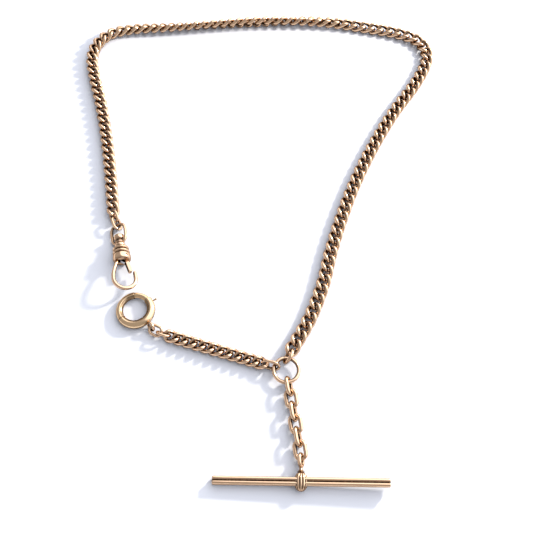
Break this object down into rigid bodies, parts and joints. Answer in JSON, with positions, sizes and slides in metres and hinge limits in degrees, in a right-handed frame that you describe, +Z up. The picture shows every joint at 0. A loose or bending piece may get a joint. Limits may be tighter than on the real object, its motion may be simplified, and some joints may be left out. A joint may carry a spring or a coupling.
{
  "type": "pocket watch chain",
  "caption": "Single Albert pocket watch chain: a long curb chain with a swivel hook, a centre ring, a short curb chain with a bolt ring and a drop chain with a T-bar.",
  "frame": {"origin": "centre of the laid-out chain's outline on the table, at table height", "axes": "+Z up from the table, +Y from the T-bar towards the far side of the long chain's loop, +X to the right along the T-bar"},
  "size_m": [0.1142, 0.1556, 0.0052],
  "materials": {
    "rose_gold": "polished, worn rose gold",
    "yellow_gold": "polished yellow gold",
    "spring_steel": "spring temper steel"
  },
  "bodies": {
    "centre_ring": {"centre_ring": "rose_gold"},
    "main_end_link": {"main_end_link": "rose_gold"},
    "main_chain_01": {"main_chain_01": "rose_gold"},
    "main_chain_02": {"main_chain_02": "rose_gold"},
    "main_chain_03": {"main_chain_03": "rose_gold"},
    "main_chain_04": {"main_chain_04": "rose_gold"},
    "main_chain_05": {"main_chain_05": "rose_gold"},
    "main_chain_06": {"main_chain_06": "rose_gold"},
    "main_chain_07": {"main_chain_07": "rose_gold"},
    "main_chain_08": {"main_chain_08": "rose_gold"},
    "main_chain_09": {"main_chain_09": "rose_gold"},
    "main_chain_10": {"main_chain_10": "rose_gold"},
    "main_chain_11": {"main_chain_11": "rose_gold"},
    "main_chain_12": {"main_chain_12": "rose_gold"},
    "main_chain_13": {"main_chain_13": "rose_gold"},
    "main_chain_14": {"main_chain_14": "rose_gold"},
    "main_chain_15": {"main_chain_15": "rose_gold"},
    "main_chain_16": {"main_chain_16": "rose_gold"},
    "main_chain_17": {"main_chain_17": "rose_gold"},
    "main_chain_18": {"main_chain_18": "rose_gold"},
    "main_chain_19": {"main_chain_19": "rose_gold"},
    "main_chain_20": {"main_chain_20": "rose_gold"},
    "main_chain_21": {"main_chain_21": "rose_gold"},
    "main_chain_22": {"main_chain_22": "rose_gold"},
    "main_chain_23": {"main_chain_23": "rose_gold"},
    "main_chain_24": {"main_chain_24": "rose_gold"},
    "main_chain_25": {"main_chain_25": "rose_gold"},
    "swivel_link_1": {"swivel_link_1": "rose_gold"},
    "swivel_link_2": {"swivel_link_2": "rose_gold"},
    "swivel_bail": {"swivel_bail": "rose_gold"},
    "swivel": {"swivel_rivet": "rose_gold", "swivel_barrel": "rose_gold", "swivel_hook": "rose_gold", "swivel_lever_pin": "yellow_gold", "swivel_lever_spring": "spring_steel"},
    "swivel_lever": {"swivel_lever": "rose_gold"},
    "short_end_link": {"short_end_link": "rose_gold"},
    "short_chain_1": {"short_chain_1": "rose_gold"},
    "short_chain_2": {"short_chain_2": "rose_gold"},
    "short_chain_3": {"short_chain_3": "rose_gold"},
    "short_chain_4": {"short_chain_4": "rose_gold"},
    "bolt_link_1": {"bolt_link_1": "rose_gold"},
    "bolt_link_2": {"bolt_link_2": "rose_gold"},
    "bolt_ring": {"bolt_ring_case": "yellow_gold", "bolt_ring_eye": "rose_gold", "bolt_ring_spring": "spring_steel"},
    "bolt": {"bolt_ring_bolt": "yellow_gold", "bolt_thumb_tab": "yellow_gold"},
    "drop_link_1": {"drop_link_1": "rose_gold"},
    "drop_link_2": {"drop_link_2": "rose_gold"},
    "drop_link_3": {"drop_link_3": "rose_gold"},
    "drop_link_4": {"drop_link_4": "rose_gold"},
    "drop_link_5": {"drop_link_5": "rose_gold"},
    "drop_link_6": {"drop_link_6": "rose_gold"},
    "t_bar": {"t_bar_loop": "rose_gold", "t_bar_bead": "rose_gold", "t_bar_rod": "rose_gold"}
  },
  "joints": [
    {"name": "main_end_swing", "type": "hinge", "parent": "centre_ring", "child": "main_end_link", "pos_m": [0.00796, -0.04284, 0.00175], "axis": [0.9903, -0.1392, 0], "range_deg": [-25, 40]},
    {"name": "main_chain_bend_01", "type": "hinge", "parent": "main_end_link", "child": "main_chain_01", "pos_m": [0.00836, -0.04168, 0.00221], "axis": [0.8685, -0.4957, 0], "range_deg": [-12, 12]},
    {"name": "main_chain_bend_02", "type": "hinge", "parent": "main_chain_01", "child": "main_chain_02", "pos_m": [0.01458, -0.03032, 0.00146], "axis": [-0.9182, 0.3961, 0], "range_deg": [-12, 12]},
    {"name": "main_chain_bend_03", "type": "hinge", "parent": "main_chain_02", "child": "main_chain_03", "pos_m": [0.01877, -0.01879, 0.00145], "axis": [-0.969, 0.2471, 0], "range_deg": [-12, 12]},
    {"name": "main_chain_bend_04", "type": "hinge", "parent": "main_chain_03", "child": "main_chain_04", "pos_m": [0.02191, -0.00696, 0.00145], "axis": [0.9546, -0.2978, 0], "range_deg": [-12, 12]},
    {"name": "main_chain_bend_05", "type": "hinge", "parent": "main_chain_04", "child": "main_chain_05", "pos_m": [0.0258, 0.0046, 0.00144], "axis": [0.936, -0.3521, 0], "range_deg": [-12, 12]},
    {"name": "main_chain_bend_06", "type": "hinge", "parent": "main_chain_05", "child": "main_chain_06", "pos_m": [0.03038, 0.01586, 0.00144], "axis": [-0.9078, 0.4193, 0], "range_deg": [-12, 12]},
    {"name": "main_chain_bend_07", "type": "hinge", "parent": "main_chain_06", "child": "main_chain_07", "pos_m": [0.03572, 0.02674, 0.00143], "axis": [-0.8795, 0.476, 0], "range_deg": [-12, 12]},
    {"name": "main_chain_bend_08", "type": "hinge", "parent": "main_chain_07", "child": "main_chain_08", "pos_m": [0.04171, 0.03723, 0.00143], "axis": [0.8442, -0.536, 0], "range_deg": [-12, 12]},
    {"name": "main_chain_bend_09", "type": "hinge", "parent": "main_chain_08", "child": "main_chain_09", "pos_m": [0.04846, 0.0472, 0.00142], "axis": [0.8425, -0.5387, 0], "range_deg": [-12, 12]},
    {"name": "main_chain_bend_10", "type": "hinge", "parent": "main_chain_09", "child": "main_chain_10", "pos_m": [0.05418, 0.05772, 0.00142], "axis": [-0.9706, 0.2409, 0], "range_deg": [-12, 12]},
    {"name": "main_chain_bend_11", "type": "hinge", "parent": "main_chain_10", "child": "main_chain_11", "pos_m": [0.05157, 0.06833, 0.00141], "axis": [-0.5039, -0.8638, 0], "range_deg": [-12, 12]},
    {"name": "main_chain_bend_12", "type": "hinge", "parent": "main_chain_11", "child": "main_chain_12", "pos_m": [0.0405, 0.07249, 0.00141], "axis": [0.2143, 0.9768, 0], "range_deg": [-12, 12]},
    {"name": "main_chain_bend_13", "type": "hinge", "parent": "main_chain_12", "child": "main_chain_13", "pos_m": [0.02884, 0.07476, 0.00154], "axis": [0.1357, 0.9908, 0], "range_deg": [-12, 12]},
    {"name": "main_chain_bend_14", "type": "hinge", "parent": "main_chain_13", "child": "main_chain_14", "pos_m": [0.01705, 0.07581, 0.00186], "axis": [-0.0254, -0.9997, 0], "range_deg": [-12, 12]},
    {"name": "main_chain_bend_15", "type": "hinge", "parent": "main_chain_14", "child": "main_chain_15", "pos_m": [0.00525, 0.0758, 0.00199], "axis": [0.041, -0.9992, 0], "range_deg": [-12, 12]},
    {"name": "main_chain_bend_16", "type": "hinge", "parent": "main_chain_15", "child": "main_chain_16", "pos_m": [-0.00649, 0.07517, 0.00199], "axis": [-0.0777, 0.997, 0], "range_deg": [-12, 12]},
    {"name": "main_chain_bend_17", "type": "hinge", "parent": "main_chain_16", "child": "main_chain_17", "pos_m": [-0.01817, 0.0742, 0.00197], "axis": [-0.0869, 0.9962, 0], "range_deg": [-12, 12]},
    {"name": "main_chain_bend_18", "type": "hinge", "parent": "main_chain_17", "child": "main_chain_18", "pos_m": [-0.02981, 0.0732, 0.00189], "axis": [0.0634, -0.998, 0], "range_deg": [-12, 12]},
    {"name": "main_chain_bend_19", "type": "hinge", "parent": "main_chain_18", "child": "main_chain_19", "pos_m": [-0.04143, 0.07253, 0.00173], "axis": [0.13, -0.9915, 0], "range_deg": [-12, 12]},
    {"name": "main_chain_bend_20", "type": "hinge", "parent": "main_chain_19", "child": "main_chain_20", "pos_m": [-0.05207, 0.06872, 0.00151], "axis": [-0.7997, 0.6004, 0], "range_deg": [-12, 12]},
    {"name": "main_chain_bend_21", "type": "hinge", "parent": "main_chain_20", "child": "main_chain_21", "pos_m": [-0.05491, 0.05806, 0.00137], "axis": [-0.9796, -0.2008, 0], "range_deg": [-12, 12]},
    {"name": "main_chain_bend_22", "type": "hinge", "parent": "main_chain_21", "child": "main_chain_22", "pos_m": [-0.05205, 0.0469, 0.00136], "axis": [0.9602, 0.2794, 0], "range_deg": [-12, 12]},
    {"name": "main_chain_bend_23", "type": "hinge", "parent": "main_chain_22", "child": "main_chain_23", "pos_m": [-0.04916, 0.03579, 0.00136], "axis": [0.9756, 0.2196, 0], "range_deg": [-12, 12]},
    {"name": "main_chain_bend_24", "type": "hinge", "parent": "main_chain_23", "child": "main_chain_24", "pos_m": [-0.04683, 0.02459, 0.00135], "axis": [-0.984, -0.178, 0], "range_deg": [-12, 12]},
    {"name": "main_chain_bend_25", "type": "hinge", "parent": "main_chain_24", "child": "main_chain_25", "pos_m": [-0.04493, 0.01334, 0.00136], "axis": [-0.988, -0.1544, 0], "range_deg": [-12, 12]},
    {"name": "swivel_link_1_swing", "type": "hinge", "parent": "main_chain_25", "child": "swivel_link_1", "pos_m": [-0.0431, 0.00152, 0.00151], "axis": [-0.6445, -0.0918, 0.7591], "range_deg": [-35, 35]},
    {"name": "swivel_link_2_swing", "type": "hinge", "parent": "swivel_link_1", "child": "swivel_link_2", "pos_m": [-0.04212, -0.00059, 0.00142], "axis": [0.6735, 0.3141, 0.6691], "range_deg": [-35, 35]},
    {"name": "swivel_bail_swing", "type": "hinge", "parent": "swivel_link_2", "child": "swivel_bail", "pos_m": [-0.0412, -0.0032, 0.00158], "axis": [0.6485, 0.2489, -0.7193], "range_deg": [-35, 35]},
    {"name": "swivel_turn", "type": "hinge", "parent": "swivel_bail", "child": "swivel", "pos_m": [-0.03974, -0.01085, 0.0024], "axis": [0.2105, -0.9734, 0.0906], "continuous": true},
    {"name": "lever_press", "type": "hinge", "parent": "swivel", "child": "swivel_lever", "pos_m": [-0.03832, -0.01317, 0.0023], "axis": [0.3163, 0.1555, 0.9358], "range_deg": [-26, 0], "stiffness_Nm_per_rad": 0.0002, "springref_deg": 8.59, "deforming": ["swivel_lever_spring"]},
    {"name": "short_end_swing", "type": "hinge", "parent": "centre_ring", "child": "short_end_link", "pos_m": [0.00431, -0.04503, 0.00175], "axis": [0.342, 0.9397, 0], "range_deg": [-25, 40]},
    {"name": "short_chain_bend_1", "type": "hinge", "parent": "short_end_link", "child": "short_chain_1", "pos_m": [0.00238, -0.04458, 0.00131], "axis": [0.2924, 0.9563, 0], "range_deg": [-12, 12]},
    {"name": "short_chain_bend_2", "type": "hinge", "parent": "short_chain_1", "child": "short_chain_2", "pos_m": [-0.00552, -0.04216, 0.00131], "axis": [-0.2924, -0.9563, 0], "range_deg": [-12, 12]},
    {"name": "short_chain_bend_3", "type": "hinge", "parent": "short_chain_2", "child": "short_chain_3", "pos_m": [-0.01287, -0.03992, 0.00131], "axis": [-0.2924, -0.9563, 0], "range_deg": [-12, 12]},
    {"name": "short_chain_bend_4", "type": "hinge", "parent": "short_chain_3", "child": "short_chain_4", "pos_m": [-0.02021, -0.03767, 0.00131], "axis": [0.2924, 0.9563, 0], "range_deg": [-12, 12]},
    {"name": "bolt_link_1_swing", "type": "hinge", "parent": "short_chain_4", "child": "bolt_link_1", "pos_m": [-0.02567, -0.036, 0.00131], "axis": [0.1903, 0.6225, 0.7591], "range_deg": [-30, 20]},
    {"name": "bolt_link_2_swing", "type": "hinge", "parent": "bolt_link_1", "child": "bolt_link_2", "pos_m": [-0.02787, -0.03526, 0.00156], "axis": [-0.1545, -0.4755, 0.866], "range_deg": [-5, 30]},
    {"name": "bolt_ring_swing", "type": "hinge", "parent": "bolt_link_2", "child": "bolt_ring", "pos_m": [-0.02997, -0.03393, 0.00148], "axis": [-0.4513, -0.8487, -0.2756], "range_deg": [-8, 30]},
    {"name": "bolt_draw", "type": "hinge", "parent": "bolt_ring", "child": "bolt", "pos_m": [-0.03447, -0.02855, 0.00125], "axis": [-0.0274, 0.0294, 0.9992], "range_deg": [-52, 0], "stiffness_Nm_per_rad": 0.0002, "springref_deg": 17.19, "deforming": ["bolt_ring_spring"]},
    {"name": "drop_link_1_swing", "type": "hinge", "parent": "centre_ring", "child": "drop_link_1", "pos_m": [0.00802, -0.04952, 0.00175], "axis": [-0.9877, -0.1564, 0], "range_deg": [-25, 40]},
    {"name": "drop_link_2_swing", "type": "hinge", "parent": "drop_link_1", "child": "drop_link_2", "pos_m": [0.00856, -0.05293, 0.00186], "axis": [0.37, 0.0586, -0.9272], "range_deg": [-30, 30]},
    {"name": "drop_link_3_swing", "type": "hinge", "parent": "drop_link_2", "child": "drop_link_3", "pos_m": [0.00909, -0.05629, 0.00186], "axis": [-0.9158, -0.145, -0.3746], "range_deg": [-30, 30]},
    {"name": "drop_link_4_swing", "type": "hinge", "parent": "drop_link_3", "child": "drop_link_4", "pos_m": [0.00962, -0.05965, 0.00186], "axis": [-0.37, -0.0586, 0.9272], "range_deg": [-30, 30]},
    {"name": "drop_link_5_swing", "type": "hinge", "parent": "drop_link_4", "child": "drop_link_5", "pos_m": [0.01016, -0.06301, 0.00186], "axis": [-0.9158, -0.145, -0.3746], "range_deg": [-30, 30]},
    {"name": "drop_link_6_swing", "type": "hinge", "parent": "drop_link_5", "child": "drop_link_6", "pos_m": [0.01069, -0.06636, 0.00186], "axis": [-0.37, -0.0586, 0.9272], "range_deg": [-30, 30]},
    {"name": "t_bar_swing", "type": "hinge", "parent": "drop_link_6", "child": "t_bar", "pos_m": [0.01122, -0.06972, 0.00186], "axis": [0.9158, 0.145, 0.3746], "range_deg": [-35, 35]}
  ]
}
